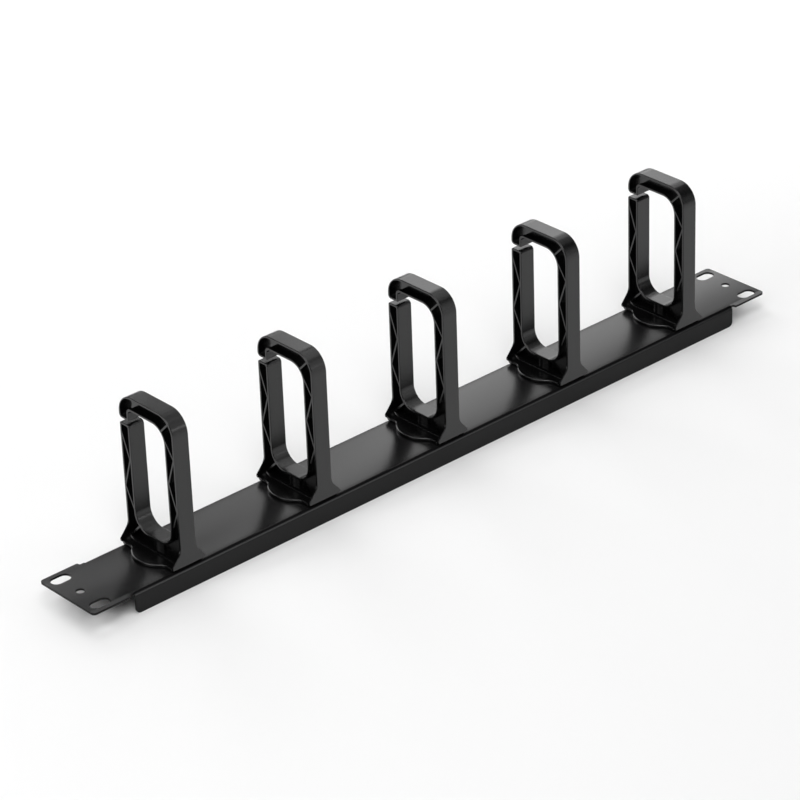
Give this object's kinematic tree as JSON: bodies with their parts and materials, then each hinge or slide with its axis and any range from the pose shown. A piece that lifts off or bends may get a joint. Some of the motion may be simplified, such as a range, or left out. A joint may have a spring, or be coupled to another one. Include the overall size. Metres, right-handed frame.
{
  "type": "horizontal cable manager",
  "caption": "Horizontal cable manager for an equipment rack: a folded black steel channel with slotted bolt-on ears and a row of upright black plastic cable rings, each with a split gate.",
  "frame": {"origin": "centre of the panel, at the level of the free edges of its two flanges, which is the bottom centre of the bounding box", "axes": "+X along the panel from the ear at ring 1 to the ear at ring 5, +Y across the panel towards the side where the rings' gates are, +Z out of the panel's face, the way the rings stand"},
  "size_m": [0.4826, 0.044, 0.0978],
  "materials": {
    "panel_steel": "satin black powder coat",
    "ring_plastic": "satin black moulded plastic",
    "screw_steel": "bright zinc plate"
  },
  "bodies": {
    "root": {"panel": "panel_steel", "cable_ring_1": "ring_plastic", "cable_ring_2": "ring_plastic", "cable_ring_3": "ring_plastic", "cable_ring_4": "ring_plastic", "cable_ring_5": "ring_plastic", "ring_screw_1": "screw_steel", "ring_screw_2": "screw_steel", "ring_screw_3": "screw_steel", "ring_screw_4": "screw_steel", "ring_screw_5": "screw_steel"}
  },
  "joints": []
}
